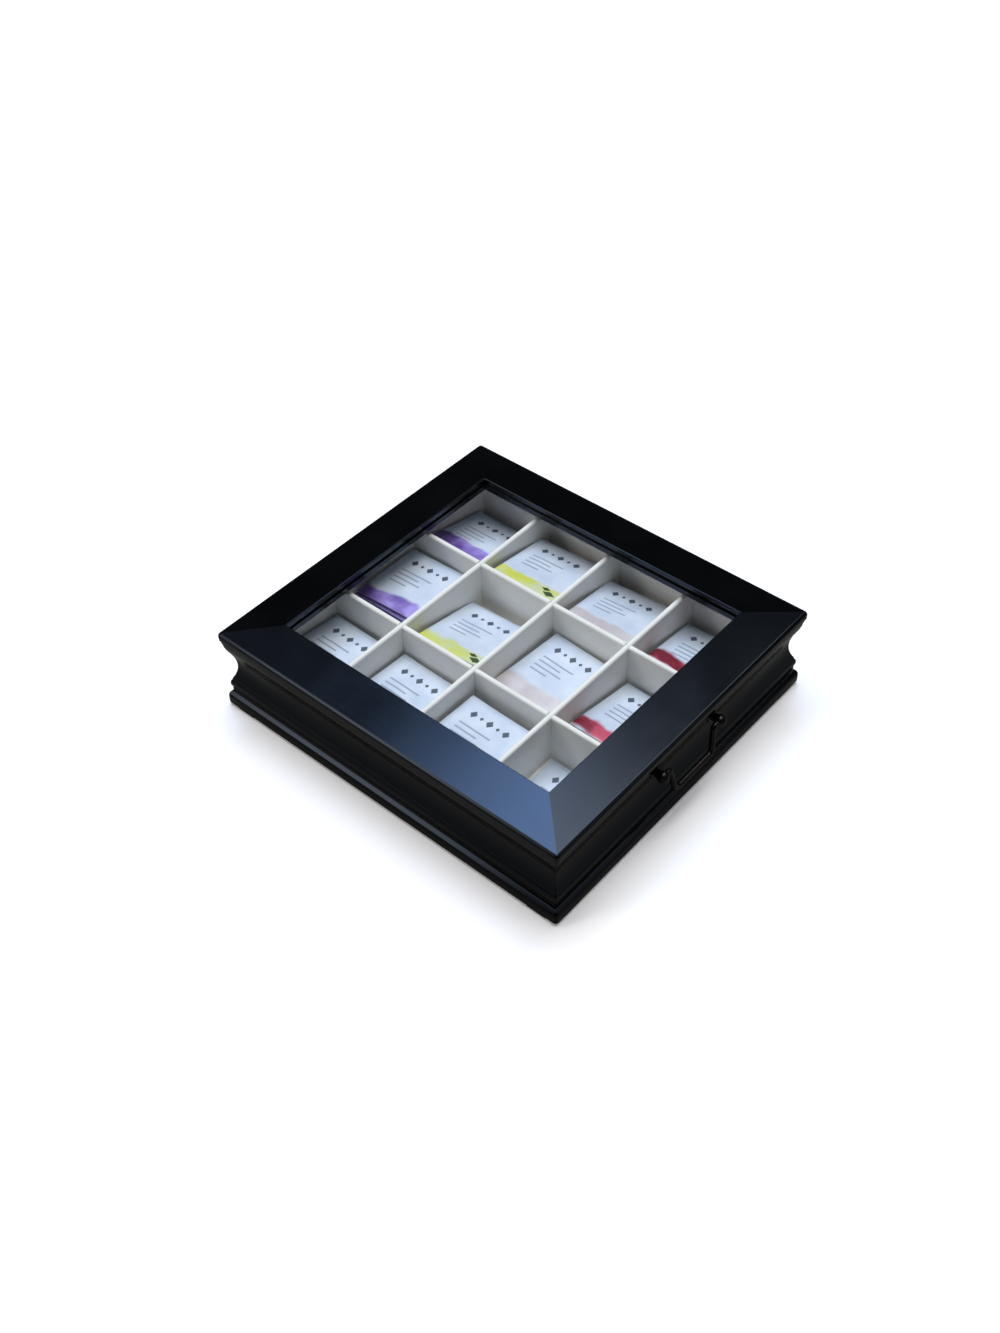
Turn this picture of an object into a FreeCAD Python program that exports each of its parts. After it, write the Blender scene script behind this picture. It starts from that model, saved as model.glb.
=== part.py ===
import FreeCAD, Part
import math
import os

# A tabletop tea chest: a low moulded case with a glazed top frame, and one drawer of twelve compartments.
# Millimetres. +Z is up, the drawer pulls out along -Y, and the origin is on the table under the middle of
# the case. Mouldings are drawn as sections: how far in from the top frame's outer edge, and how high.

V = FreeCAD.Vector
ORIGIN = V(0, 0, 0)
ACROSS = V(1, 0, 0)
UP = V(0, 0, 1)
SAME_PLACE = 1e-6

# Case outside
CASE_WIDTH = 303.5  # top frame, along X
CASE_DEPTH = 330.0  # top frame, along Y
CORNER_RADIUS = 3.0  # eased corners of the top frame and base, in plan

# Feet: square pads under the base, with their outer corner rounded
FOOT_HEIGHT = 2.5
FOOT_SIZE = 26.0
FOOT_INSET = 1.0
FOOT_OUTER_RADIUS = 12.0

# Base: four mitred rails round a panel in a rebate
BASE_HEIGHT = 11.3
BASE_PROUD = 0.75
BASE_NOSE = 5.0
BASE_EASING = 0.8
BASE_RAIL_WIDTH = 34.0
BASE_REBATE = 8.0
BASE_PANEL_THICKNESS = 4.0
PANEL_GAP = 0.3

# Moulded walls: fillet, ovolo, cove, bead and quirk from the top down
WALL_HEIGHT = 54.2
WALL_INSIDE = 15.25
FILLET_SET = 1.8
FILLET_HEIGHT = 2.5
OVOLO_SET = 2.2
OVOLO_BELLY_SET = 2.75
OVOLO_HEIGHT = 10.2
COVE_HEAD_SET = 5.0
COVE_WAIST_SET = 8.15
COVE_FOOT_SET = 4.0
COVE_LIP = 0.8
BEAD_SET = 2.45
BEAD_HEIGHT = 8.8
BEAD_FOOT_SET = 3.6
QUIRK_SET = 3.3
QUIRK_HEIGHT = 4.6

# Top frame: four mitred rails that slope up to the window, with a lip over the glass
FRAME_EDGE = 8.5
FRAME_RISE = 4.0
FRAME_RAIL_WIDTH = 37.8
FRAME_NOSE = 3.0
LIP_HEIGHT = 4.3
LIP_EASING = 0.6
GLASS_REBATE = 6.0
GLASS_THICKNESS = 3.0
GLASS_GAP = 0.5
GLASS_BEAD_EASING = 1.2

# Joinery of the case
MITRE_REACH = 70.0  # how far in from a corner the mitre planes cut
MITRE_SPARE = 6.0
SPLINE_LENGTH = 22.0
SPLINE_WIDTH = 16.0
SPLINE_THICKNESS = 3.0
SPLINE_SET = 18.0
SPLINE_LIFT = 3.0
WALL_SPLINE_WIDTH = 6.0
WALL_SPLINE_THICKNESS = 2.0
WALL_SPLINE_SET = 11.7
WALL_SPLINE_LOW = 5.0
WALL_SPLINE_HIGH = 8.0
TONGUE_THICKNESS = 4.0
TONGUE_SET = 10.0
TONGUE_DEPTH = 5.0
TONGUE_FROM_CORNER = 45.0
BRAD_SIZE = 1.2
BRAD_LENGTH = 13.0
BRAD_SUNK = 0.4
BRAD_LIFT = 2.6
BRAD_SPACING = 140.0
BRAD_FIT = 0.03

# Drawer: clearances in the case
FRONT_GAP = 0.5  # drawer front to the top frame and base
MITRE_GAP = 0.6  # drawer front to the side walls, along X
SIDE_GAP = 0.5
RUN_GAP = 0.4
BACK_TOP_GAP = 0.5
HEADROOM = 4.0  # top frame to the tops of the drawer's walls

# Drawer: tray and dividers
TRAY_WALL = 4.5
TRAY_SKIRT = 1.7
TRAY_PANEL = 4.0
GROOVE_DEPTH = 2.0
GROOVE_GAP = 0.2
HOUSING_DEPTH = 1.5
EDGE_ROUND = 2.0
MIDDLE_CELL = 88.0
ROWS = 4
LAP_GAP = 0.1

# Drawer stop: a batten under the front rail, which catches the drawer's taller back wall
STOP_LENGTH = 200.0
STOP_WIDTH = 10.0
STOP_SET = 21.0
STOP_GAP = 0.5

# Handle: a drop bail between two ball-headed posts
POST_SPACING = 70.0
PIVOT_DROP = 14.0  # below the top frame
PIVOT_STAND = 1.5  # out from the top frame's edge
BALL_RADIUS = 4.8
BALL_STEPS = 8  # straight turned steps from the neck to the front of the ball
NECK_RADIUS = 3.2
COLLAR_RADIUS = 5.5
COLLAR_THICKNESS = 3.5
SEAT_GAP = 0.2
STUD_RADIUS = 1.9
STUD_CLEARANCE = 0.3
STUD_PAST_NUT = 0.8
NUT_ACROSS_FLATS = 7.0
NUT_THICKNESS = 3.0
THREAD_FIT = 0.05
BAIL_RADIUS = 2.3
BAIL_SPAN = 53.6  # between the arms at the top
BAIL_GRIP = 45.0  # between them at the bottom
BAIL_DROP = 22.3
BAIL_LEAN = 8.0  # degrees that the bail stands out at rest
BAIL_ELBOW = 2.0  # bevel where an arm turns in to its post
BAIL_CORNER = 6.0
BAIL_REACH = 1.5  # past the middle of the ball
BAIL_END_GAP = 0.3
PIVOT_FIT = 0.05

# Tea sachets, and how each stack stands in its cell
SACHET_ROOM_ACROSS = 13.0  # left free in the narrowest cells, along X
SACHET_ROOM_ALONG = 6.6
SACHET_THICKNESS = 4.2  # where the tea is
SACHET_GAP = 0.4
STACKS = (
    # column, row from the front, drop below the divider tops at the right edge, tilt and turn in degrees,
    # then the place in the cell from left to right and from front to back, 0 to 1
    ("left", "back", 26.0, 6.0, -2.0, 0.8, 0.6),
    ("left", "mid_back", 24.0, 3.0, -2.0, 0.9, 0.6),
    ("left", "mid_front", 16.5, 1.0, -1.5, 0.4, 0.6),
    ("left", "front", 39.4, 0.0, -2.0, 0.9, 0.6),
    ("middle", "back", 18.5, 4.0, 2.0, 0.95, 0.65),
    ("middle", "mid_back", 30.0, 16.0, 2.5, 0.4, 0.7),
    ("middle", "mid_front", 24.6, 1.5, -2.5, 0.9, 0.55),
    ("middle", "front", 33.0, 11.0, -2.0, 0.85, 0.6),
    ("right", "back", 34.4, 12.0, 1.0, 0.4, 0.6),
    ("right", "mid_back", 21.0, 16.0, 4.0, 0.05, 0.8),
    ("right", "mid_front", 25.4, 17.0, 4.0, 0.05, 0.8),
    ("right", "front", 31.4, 12.0, 2.0, 0.4, 0.75),
)

# Levels and places that follow from the sizes above
BASE_Z = FOOT_HEIGHT
WALL_Z = BASE_Z + BASE_HEIGHT
FRAME_Z = WALL_Z + WALL_HEIGHT
ARRIS_Z = FRAME_Z + FRAME_EDGE
TOP_Z = ARRIS_Z + FRAME_RISE
GLASS_TOP_Z = TOP_Z - LIP_HEIGHT
GLASS_Z = GLASS_TOP_Z - GLASS_THICKNESS
REBATE_IN = FRAME_RAIL_WIDTH - GLASS_REBATE

TRAY_Z = WALL_Z + RUN_GAP
FLOOR_Z = TRAY_Z + TRAY_SKIRT + TRAY_PANEL
DIVIDER_TOP_Z = FRAME_Z - HEADROOM
TRAY_HALF = CASE_WIDTH / 2 - WALL_INSIDE - SIDE_GAP
TRAY_FRONT_Y = -CASE_DEPTH / 2 + WALL_INSIDE
TRAY_BACK_Y = CASE_DEPTH / 2 - WALL_INSIDE - SIDE_GAP
INNER_HALF = TRAY_HALF - TRAY_WALL
INNER_FRONT_Y = TRAY_FRONT_Y + TRAY_WALL
INNER_BACK_Y = TRAY_BACK_Y - TRAY_WALL
TRAY_MIDDLE_Y = (TRAY_FRONT_Y + TRAY_BACK_Y) / 2
CELL_LENGTH = (INNER_BACK_Y - INNER_FRONT_Y - (ROWS - 1) * TRAY_WALL) / ROWS
DIVIDER_X = (MIDDLE_CELL + TRAY_WALL) / 2
OUTER_CELL = INNER_HALF - DIVIDER_X - TRAY_WALL / 2
SACHET_HEIGHT = min(MIDDLE_CELL, OUTER_CELL) - SACHET_ROOM_ACROSS
SACHET_WIDTH = CELL_LENGTH - SACHET_ROOM_ALONG

SEAT_OUT = CASE_DEPTH / 2 - COVE_WAIST_SET
COLLAR_OUT = SEAT_OUT + COLLAR_THICKNESS
PIVOT_OUT = CASE_DEPTH / 2 + PIVOT_STAND
PIVOT_Z = FRAME_Z - PIVOT_DROP
POST_PLACES = (-POST_SPACING / 2, POST_SPACING / 2)

# Each side of the case: its turn from the front, its length, and how far it stands from the middle
SIDES = {
    "front": (0, CASE_WIDTH, CASE_DEPTH / 2),
    "right": (90, CASE_DEPTH, CASE_WIDTH / 2),
    "back": (180, CASE_WIDTH, CASE_DEPTH / 2),
    "left": (270, CASE_DEPTH, CASE_WIDTH / 2),
}
WALL_SIDES = ("left", "right", "back")
COLUMNS = {
    "left": (-INNER_HALF, -DIVIDER_X - TRAY_WALL / 2),
    "middle": (-MIDDLE_CELL / 2, MIDDLE_CELL / 2),
    "right": (DIVIDER_X + TRAY_WALL / 2, INNER_HALF),
}
ROW_NAMES = ("front", "mid_front", "mid_back", "back")


def at(along, high, radius=0.0, via=None):
    """A corner of a section, rounded if it has a radius, or reached by an arc through another point."""
    return {"point": V(0, along, high), "radius": radius, "via": via and V(0, *via)}


def corner_arc(before, corner, after):
    """Start, middle and end of the arc that rounds a corner; all three are the corner if it is sharp."""
    here = corner["point"]
    if not corner["radius"]:
        return here, here, here
    to_before = (before["point"] - here).normalize()
    to_after = (after["point"] - here).normalize()
    half_angle = to_before.getAngle(to_after) / 2
    run = corner["radius"] / math.tan(half_angle)
    inward = (to_before + to_after).normalize()
    depth = corner["radius"] / math.sin(half_angle) - corner["radius"]
    return here + to_before * run, here + inward * depth, here + to_after * run


def section(*corners):
    """A flat face in the YZ plane with the given corners."""
    arcs = []
    for index, corner in enumerate(corners):
        arcs.append(corner_arc(corners[index - 1], corner, corners[(index + 1) % len(corners)]))
    edges = []
    for index, corner in enumerate(corners):
        start = arcs[index - 1][2]
        entry, middle, leave = arcs[index]
        if corner["via"]:
            edges.append(Part.Arc(start, corner["via"], entry).toShape())
        else:
            edges.append(Part.LineSegment(start, entry).toShape())
        if corner["radius"]:
            edges.append(Part.Arc(entry, middle, leave).toShape())
    return Part.Face(Part.Wire(edges))


def box(x0, x1, y0, y1, z0, z1):
    return Part.makeBox(x1 - x0, y1 - y0, z1 - z0, V(x0, y0, z0))


def rod(radius, start, end):
    """A plain cylinder between two points."""
    axis = end - start
    return Part.makeCylinder(radius, axis.Length, start, axis)


def turned(*corners):
    """A turned piece on the Z axis: its corners are radius and height."""
    return section(*corners).revolve(ORIGIN, UP, 360)


def facing_out(shape, x, z):
    """Turn a piece drawn on the Z axis so that its heights run out of the front, along -Y."""
    shape.rotate(ORIGIN, ACROSS, 90)
    shape.translate(V(x, 0, z))
    return shape


def prism(points, z0, z1):
    """An upright block over a plan outline."""
    corners = [V(x, y, z0) for x, y in points]
    return Part.Face(Part.makePolygon(corners + corners[:1])).extrude(V(0, 0, z1 - z0))


def eased_block(half_x, half_y, z0, z1):
    """An upright block about the middle, with the case's eased corners."""
    block = box(-half_x, half_x, -half_y, half_y, z0, z1)
    upright = [edge for edge in block.Edges if abs(edge.tangentAt(edge.FirstParameter).z) > 0.5]
    return block.makeFillet(CORNER_RADIUS, upright)


def to_side(side, shape):
    """Move a piece drawn for the front of a case to one of its sides."""
    shape.rotate(ORIGIN, UP, SIDES[side][0])
    return shape


def mitred_run(side, face, end_gap=0.0):
    """Run a section along one side of the case, with both ends mitred."""
    length, reach = SIDES[side][1:]
    z0 = face.BoundBox.ZMin
    z1 = face.BoundBox.ZMax
    half = length / 2 - end_gap
    out = MITRE_SPARE
    run = face.translated(V(-half - out, -reach, 0)).extrude(V(2 * (half + out), 0, 0))
    wedge = prism(
        (
            (-half - out, -reach - out),
            (half + out, -reach - out),
            (half - MITRE_REACH, -reach + MITRE_REACH),
            (-half + MITRE_REACH, -reach + MITRE_REACH),
        ),
        z0,
        z1,
    )
    return to_side(side, run.common(wedge))


def placed(shape, x, y, turn=0):
    shape.rotate(ORIGIN, UP, turn)
    shape.translate(V(x, y, 0))
    return shape


def without(shape, tools):
    for tool in tools:
        shape = shape.cut(tool)
    return shape


# Case: feet and base


def foot(side_x, side_y):
    """A square pad with its outer corner rounded."""
    half = FOOT_SIZE / 2
    pad = box(-half, half, -half, half, 0, FOOT_HEIGHT)
    outer = V(side_x * half, side_y * half, FOOT_HEIGHT / 2)
    outer_edge = [edge for edge in pad.Edges if edge.CenterOfMass.isEqual(outer, SAME_PLACE)]
    pad = pad.makeFillet(FOOT_OUTER_RADIUS, outer_edge)
    x = CASE_WIDTH / 2 + BASE_PROUD - FOOT_INSET - half
    y = CASE_DEPTH / 2 + BASE_PROUD - FOOT_INSET - half
    return placed(pad, side_x * x, side_y * y)


def tongues(joint_z):
    """Loose tongues that join the walls to the base or to the top frame, half in each."""
    loose = []
    for side in WALL_SIDES:
        length, reach = SIDES[side][1:]
        half = length / 2 - TONGUE_FROM_CORNER
        y0 = TONGUE_SET - TONGUE_THICKNESS / 2 - reach
        tongue = box(-half, half, y0, y0 + TONGUE_THICKNESS, joint_z - TONGUE_DEPTH, joint_z + TONGUE_DEPTH)
        loose.append(to_side(side, tongue))
    return loose


def base_rail(side):
    inside = BASE_RAIL_WIDTH - BASE_REBATE
    panel_z = WALL_Z - BASE_PANEL_THICKNESS
    face = section(
        at(-BASE_PROUD, BASE_Z, radius=BASE_EASING),
        at(-BASE_PROUD, WALL_Z, radius=BASE_NOSE),
        at(inside, WALL_Z),
        at(inside, panel_z),
        at(BASE_RAIL_WIDTH, panel_z),
        at(BASE_RAIL_WIDTH, BASE_Z),
    )
    half_x = CASE_WIDTH / 2 + BASE_PROUD
    half_y = CASE_DEPTH / 2 + BASE_PROUD
    rail = mitred_run(side, face).common(eased_block(half_x, half_y, BASE_Z, WALL_Z))
    return without(rail, tongues(WALL_Z))


def base_panel():
    inside = BASE_RAIL_WIDTH - BASE_REBATE + PANEL_GAP
    half_x = CASE_WIDTH / 2 - inside
    half_y = CASE_DEPTH / 2 - inside
    return box(-half_x, half_x, -half_y, half_y, WALL_Z - BASE_PANEL_THICKNESS, WALL_Z)


# Case: moulded walls


def wall_section():
    """Fillet, ovolo, cove, bead and quirk, which the walls and the drawer front share."""
    ovolo_z = FRAME_Z - FILLET_HEIGHT
    cove_head_z = ovolo_z - OVOLO_HEIGHT
    bead_foot_z = WALL_Z + QUIRK_HEIGHT
    bead_head_z = bead_foot_z + BEAD_HEIGHT
    cove_foot_z = bead_head_z + COVE_LIP
    belly_z = ovolo_z - 0.4 * OVOLO_HEIGHT
    waist_z = (cove_head_z + cove_foot_z) / 2
    bead_z = (bead_foot_z + bead_head_z) / 2
    return section(
        at(FILLET_SET, FRAME_Z),
        at(FILLET_SET, ovolo_z),
        at(OVOLO_SET, ovolo_z),
        at(COVE_HEAD_SET, cove_head_z, via=(OVOLO_BELLY_SET, belly_z)),
        at(COVE_FOOT_SET, cove_foot_z, via=(COVE_WAIST_SET, waist_z)),
        at(COVE_FOOT_SET, bead_head_z),
        at(BEAD_FOOT_SET, bead_foot_z, via=(BEAD_SET, bead_z)),
        at(QUIRK_SET, bead_foot_z),
        at(QUIRK_SET, WALL_Z),
        at(WALL_INSIDE, WALL_Z),
        at(WALL_INSIDE, FRAME_Z),
    )


def wall_spline(side_x):
    """An upright feather across a back mitre."""
    low_z = WALL_Z + WALL_SPLINE_LOW
    high_z = FRAME_Z - WALL_SPLINE_HIGH
    half = WALL_SPLINE_WIDTH / 2
    thick = WALL_SPLINE_THICKNESS / 2
    feather = box(-half, half, -thick, thick, low_z, high_z)
    x = side_x * (CASE_WIDTH / 2 - WALL_SPLINE_SET)
    return placed(feather, x, CASE_DEPTH / 2 - WALL_SPLINE_SET, -45 * side_x)


def case_wall(side):
    wall = mitred_run(side, wall_section())
    return without(wall, tongues(WALL_Z) + tongues(FRAME_Z) + [wall_spline(-1), wall_spline(1)])


# Case: top frame and glazing


def frame_section():
    return section(
        at(0, FRAME_Z, radius=FRAME_NOSE),
        at(0, ARRIS_Z, radius=FRAME_NOSE),
        at(FRAME_RAIL_WIDTH, TOP_Z, radius=LIP_EASING),
        at(FRAME_RAIL_WIDTH, GLASS_TOP_Z),
        at(REBATE_IN, GLASS_TOP_Z),
        at(REBATE_IN, FRAME_Z),
    )


def frame_spline(side_x, side_y):
    """A flat feather across one mitre of the top frame."""
    half = SPLINE_LENGTH / 2
    wide = SPLINE_WIDTH / 2
    low_z = FRAME_Z + SPLINE_LIFT
    feather = box(-half, half, -wide, wide, low_z, low_z + SPLINE_THICKNESS)
    x = side_x * (CASE_WIDTH / 2 - SPLINE_SET)
    y = side_y * (CASE_DEPTH / 2 - SPLINE_SET)
    return placed(feather, x, y, 45 * side_x * side_y)


def frame_splines():
    return [frame_spline(side_x, side_y) for side_x in (-1, 1) for side_y in (-1, 1)]


def brad(side, along, fit=0.0):
    """A square brad through a glass bead into the rail; with a fit it is the hole for one."""
    reach = SIDES[side][2]
    half = BRAD_SIZE / 2 + fit
    z = FRAME_Z + BRAD_LIFT
    head_y = FRAME_RAIL_WIDTH - reach - (0 if fit else BRAD_SUNK)
    point_y = FRAME_RAIL_WIDTH - reach - BRAD_LENGTH - fit
    return to_side(side, box(along - half, along + half, point_y, head_y, z - half, z + half))


def brads(fit=0.0):
    half = BRAD_SPACING / 2
    return [brad(side, along, fit) for side in SIDES for along in (-half, half)]


def top_rail(side):
    face = frame_section()
    rail = mitred_run(side, face).common(eased_block(CASE_WIDTH / 2, CASE_DEPTH / 2, FRAME_Z, TOP_Z))
    return without(rail, frame_splines() + tongues(FRAME_Z) + brads(BRAD_FIT))


def glass_pane():
    half_x = CASE_WIDTH / 2 - REBATE_IN - GLASS_GAP
    half_y = CASE_DEPTH / 2 - REBATE_IN - GLASS_GAP
    return box(-half_x, half_x, -half_y, half_y, GLASS_Z, GLASS_TOP_Z)


def glass_bead(side):
    face = section(
        at(REBATE_IN, FRAME_Z),
        at(REBATE_IN, GLASS_Z),
        at(FRAME_RAIL_WIDTH, GLASS_Z),
        at(FRAME_RAIL_WIDTH, FRAME_Z, radius=GLASS_BEAD_EASING),
    )
    return without(mitred_run(side, face), brads(BRAD_FIT))


# Case: drawer stop


def drawer_stop():
    front_y = -CASE_DEPTH / 2 + STOP_SET
    half = STOP_LENGTH / 2
    return box(-half, half, front_y, front_y + STOP_WIDTH, DIVIDER_TOP_Z + STOP_GAP, FRAME_Z)


# Drawer: moulded front and tray


def bores(radius, y0, y1):
    """Round holes through the front of the drawer, one for each handle post."""
    return [rod(radius, V(x, y0, PIVOT_Z), V(x, y1, PIVOT_Z)) for x in POST_PLACES]


def stud_holes():
    return bores(STUD_RADIUS + STUD_CLEARANCE, -CASE_DEPTH / 2, INNER_FRONT_Y)


def drawer_front():
    front = mitred_run("front", wall_section(), MITRE_GAP)
    half = CASE_WIDTH / 2
    front = front.common(box(-half, half, -CASE_DEPTH / 2, 0, WALL_Z + FRONT_GAP, FRAME_Z - FRONT_GAP))
    seats = bores(COLLAR_RADIUS + SEAT_GAP, -CASE_DEPTH / 2, -SEAT_OUT)
    return without(front, seats + stud_holes())


def board(length, z0, z1):
    """A board along X about the middle, with its top edges rounded."""
    half = TRAY_WALL / 2
    rounded = [at(half, z1, radius=EDGE_ROUND), at(-half, z1, radius=EDGE_ROUND)]
    face = section(at(-half, z0), at(half, z0), *rounded)
    return face.translated(V(-length / 2, 0, 0)).extrude(V(length, 0, 0))


def tray_panel(gap=0.0):
    """The drawer's bottom; with a gap it is the groove that takes it."""
    reach = GROOVE_DEPTH + gap
    z0 = FLOOR_Z - TRAY_PANEL
    half = INNER_HALF + reach
    return box(-half, half, INNER_FRONT_Y - reach, INNER_BACK_Y + reach, z0, FLOOR_Z + gap)


def divider_lines():
    """Middle lines of the cross dividers, from front to back."""
    return [INNER_FRONT_Y + row * (CELL_LENGTH + TRAY_WALL) - TRAY_WALL / 2 for row in range(1, ROWS)]


def end_housings(face_y, into):
    """Cuts in a tray end for the two sides and the two long dividers."""
    y0, y1 = sorted((face_y, face_y + into * HOUSING_DEPTH))
    cuts = []
    for side in (-1, 1):
        x0, x1 = sorted((side * INNER_HALF, side * (TRAY_HALF + SIDE_GAP)))
        cuts.append(box(x0, x1, y0, y1, TRAY_Z, DIVIDER_TOP_Z))
        middle = side * DIVIDER_X
        half = TRAY_WALL / 2
        cuts.append(box(middle - half, middle + half, y0, y1, FLOOR_Z, DIVIDER_TOP_Z))
    return cuts


def tray_front():
    end = placed(board(2 * TRAY_HALF, TRAY_Z, DIVIDER_TOP_Z), 0, TRAY_FRONT_Y + TRAY_WALL / 2)
    cuts = [tray_panel(GROOVE_GAP)] + end_housings(INNER_FRONT_Y, -1)
    return without(end, cuts + stud_holes())


def tray_back():
    end = placed(board(2 * TRAY_HALF, TRAY_Z, FRAME_Z - BACK_TOP_GAP), 0, TRAY_BACK_Y - TRAY_WALL / 2)
    return without(end, [tray_panel(GROOVE_GAP)] + end_housings(INNER_BACK_Y, 1))


def long_board(x, z0):
    """A board along Y from end to end of the tray, let into its housings."""
    length = INNER_BACK_Y - INNER_FRONT_Y + 2 * HOUSING_DEPTH
    return placed(board(length, z0, DIVIDER_TOP_Z), x, TRAY_MIDDLE_Y, 90)


def tray_side(side):
    half = TRAY_WALL / 2
    wall = long_board(side * (TRAY_HALF - half), TRAY_Z)
    x0, x1 = sorted((side * INNER_HALF, side * (INNER_HALF + HOUSING_DEPTH)))
    housings = [box(x0, x1, y - half, y + half, FLOOR_Z, DIVIDER_TOP_Z) for y in divider_lines()]
    return without(wall, [tray_panel(GROOVE_GAP)] + housings)


def divider_long(side):
    """Notched from above at each cross divider."""
    half = TRAY_WALL / 2 + LAP_GAP
    lap_z = (FLOOR_Z + DIVIDER_TOP_Z) / 2
    x = side * DIVIDER_X
    laps = [box(x - half, x + half, y - half, y + half, lap_z, DIVIDER_TOP_Z) for y in divider_lines()]
    return without(long_board(x, FLOOR_Z), laps)


def divider_cross(y):
    """Notched from below at each long divider."""
    half = TRAY_WALL / 2 + LAP_GAP
    lap_z = (FLOOR_Z + DIVIDER_TOP_Z) / 2
    length = 2 * (INNER_HALF + HOUSING_DEPTH)
    wall = placed(board(length, FLOOR_Z, DIVIDER_TOP_Z), 0, y)
    laps = []
    for x in (-DIVIDER_X, DIVIDER_X):
        laps.append(box(x - half, x + half, y - half, y + half, FLOOR_Z, lap_z))
    return without(wall, laps)


# Handle


def handle_post(x):
    """Collar, neck and ball in one with the stud, and the ball drilled across for the end of the bail."""
    neck_angle = math.asin(NECK_RADIUS / BALL_RADIUS)
    angles = [neck_angle + (math.pi - neck_angle) * step / BALL_STEPS for step in range(BALL_STEPS)]
    ball = [at(BALL_RADIUS * math.sin(a), PIVOT_OUT - BALL_RADIUS * math.cos(a)) for a in angles]
    stud_end = -INNER_FRONT_Y - NUT_THICKNESS - STUD_PAST_NUT
    post = turned(
        at(0, stud_end),
        at(STUD_RADIUS, stud_end),
        at(STUD_RADIUS, SEAT_OUT),
        at(COLLAR_RADIUS, SEAT_OUT),
        at(COLLAR_RADIUS, COLLAR_OUT),
        at(NECK_RADIUS, COLLAR_OUT),
        *ball,
        at(0, PIVOT_OUT + BALL_RADIUS),
    )
    hole_end = POST_SPACING / 2 + BAIL_REACH + BAIL_END_GAP
    middle = V(0, -PIVOT_OUT, PIVOT_Z)
    hole = rod(BAIL_RADIUS + PIVOT_FIT, middle, middle + ACROSS * math.copysign(hole_end, x))
    return facing_out(post, x, PIVOT_Z).cut(hole)


def handle_nut(x):
    """A hexagon nut on a post's stud, inside the drawer."""
    corner = NUT_ACROSS_FLATS / 2 / math.cos(math.radians(30))
    angles = [math.radians(60 * step) for step in range(6)]
    seat = -INNER_FRONT_Y
    nut = prism([(corner * math.cos(a), corner * math.sin(a)) for a in angles], seat - NUT_THICKNESS, seat)
    thread = STUD_RADIUS + THREAD_FIT
    return facing_out(nut.cut(rod(thread, V(0, 0, seat - NUT_THICKNESS), V(0, 0, seat))), x, PIVOT_Z)


def bail_path():
    """Centre line of the bar: in from one post, down, across and up to the other."""
    end = POST_SPACING / 2 + BAIL_REACH
    half = BAIL_SPAN / 2
    low_z = PIVOT_Z - BAIL_DROP
    left = [(-end, PIVOT_Z), (-half - BAIL_ELBOW, PIVOT_Z), (-half, PIVOT_Z - BAIL_ELBOW)]
    left.append((-BAIL_GRIP / 2, low_z))
    right = [(-x, z) for x, z in reversed(left)]
    corners = []
    for x, z in left + right:
        corners.append({"point": V(x, -PIVOT_OUT, z), "radius": BAIL_CORNER if z == low_z else 0})
    edges = []
    here = corners[0]["point"]
    for before, corner, after in zip(corners, corners[1:], corners[2:]):
        entry, middle, leave = corner_arc(before, corner, after)
        edges.append(Part.LineSegment(here, entry).toShape())
        if corner["radius"]:
            edges.append(Part.Arc(entry, middle, leave).toShape())
        here = leave
    edges.append(Part.LineSegment(here, corners[-1]["point"]).toShape())
    return Part.Wire(edges)


def handle_bail():
    path = bail_path()
    ring = Part.Wire(Part.makeCircle(BAIL_RADIUS, path.Edges[0].firstVertex().Point, ACROSS))
    solid, upright_ring, mitred_corners = True, False, 1
    bail = path.makePipeShell([ring], solid, upright_ring, mitred_corners)
    bail.rotate(V(0, -PIVOT_OUT, PIVOT_Z), ACROSS, -BAIL_LEAN)
    return bail


# Sachets


def row_span(row):
    """Front and back faces of the cells in a row."""
    y0 = INNER_FRONT_Y + ROW_NAMES.index(row) * (CELL_LENGTH + TRAY_WALL)
    return y0, y0 + CELL_LENGTH


def sachet_stack(column, row, drop, tilt, turn, place_x, place_y):
    """A fan of separate sachets, thin edges together at the right and spread by the tea at the left."""
    thin = DIVIDER_TOP_Z - drop - FLOOR_Z
    thick = thin + SACHET_HEIGHT * math.sin(math.radians(tilt))
    count = max(1, round(thick / SACHET_THICKNESS))
    sachets = []
    for index in range(count):
        outline = []
        for step in (index, index + 1):
            angle = math.radians(tilt) * step / count
            near = (0, FLOOR_Z + thin * step / count)
            far = (-SACHET_HEIGHT * math.cos(angle), near[1] + SACHET_HEIGHT * math.sin(angle))
            outline += [near, far] if step == index else [far, near]
        corners = [V(x + SACHET_HEIGHT / 2, -SACHET_WIDTH / 2, z) for x, z in outline]
        face = Part.Face(Part.makePolygon(corners + corners[:1]))
        sachets.append(face.extrude(V(0, SACHET_WIDTH, 0)))
    stack = Part.makeCompound(sachets)
    angle = math.radians(abs(turn))
    half_x = (SACHET_HEIGHT * math.cos(angle) + SACHET_WIDTH * math.sin(angle)) / 2 + SACHET_GAP
    half_y = (SACHET_WIDTH * math.cos(angle) + SACHET_HEIGHT * math.sin(angle)) / 2 + SACHET_GAP
    x0, x1 = COLUMNS[column]
    y0, y1 = row_span(row)
    x = x0 + half_x + place_x * (x1 - x0 - 2 * half_x)
    y = y0 + half_y + place_y * (y1 - y0 - 2 * half_y)
    return placed(stack, x, y, turn)


# The whole chest


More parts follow.
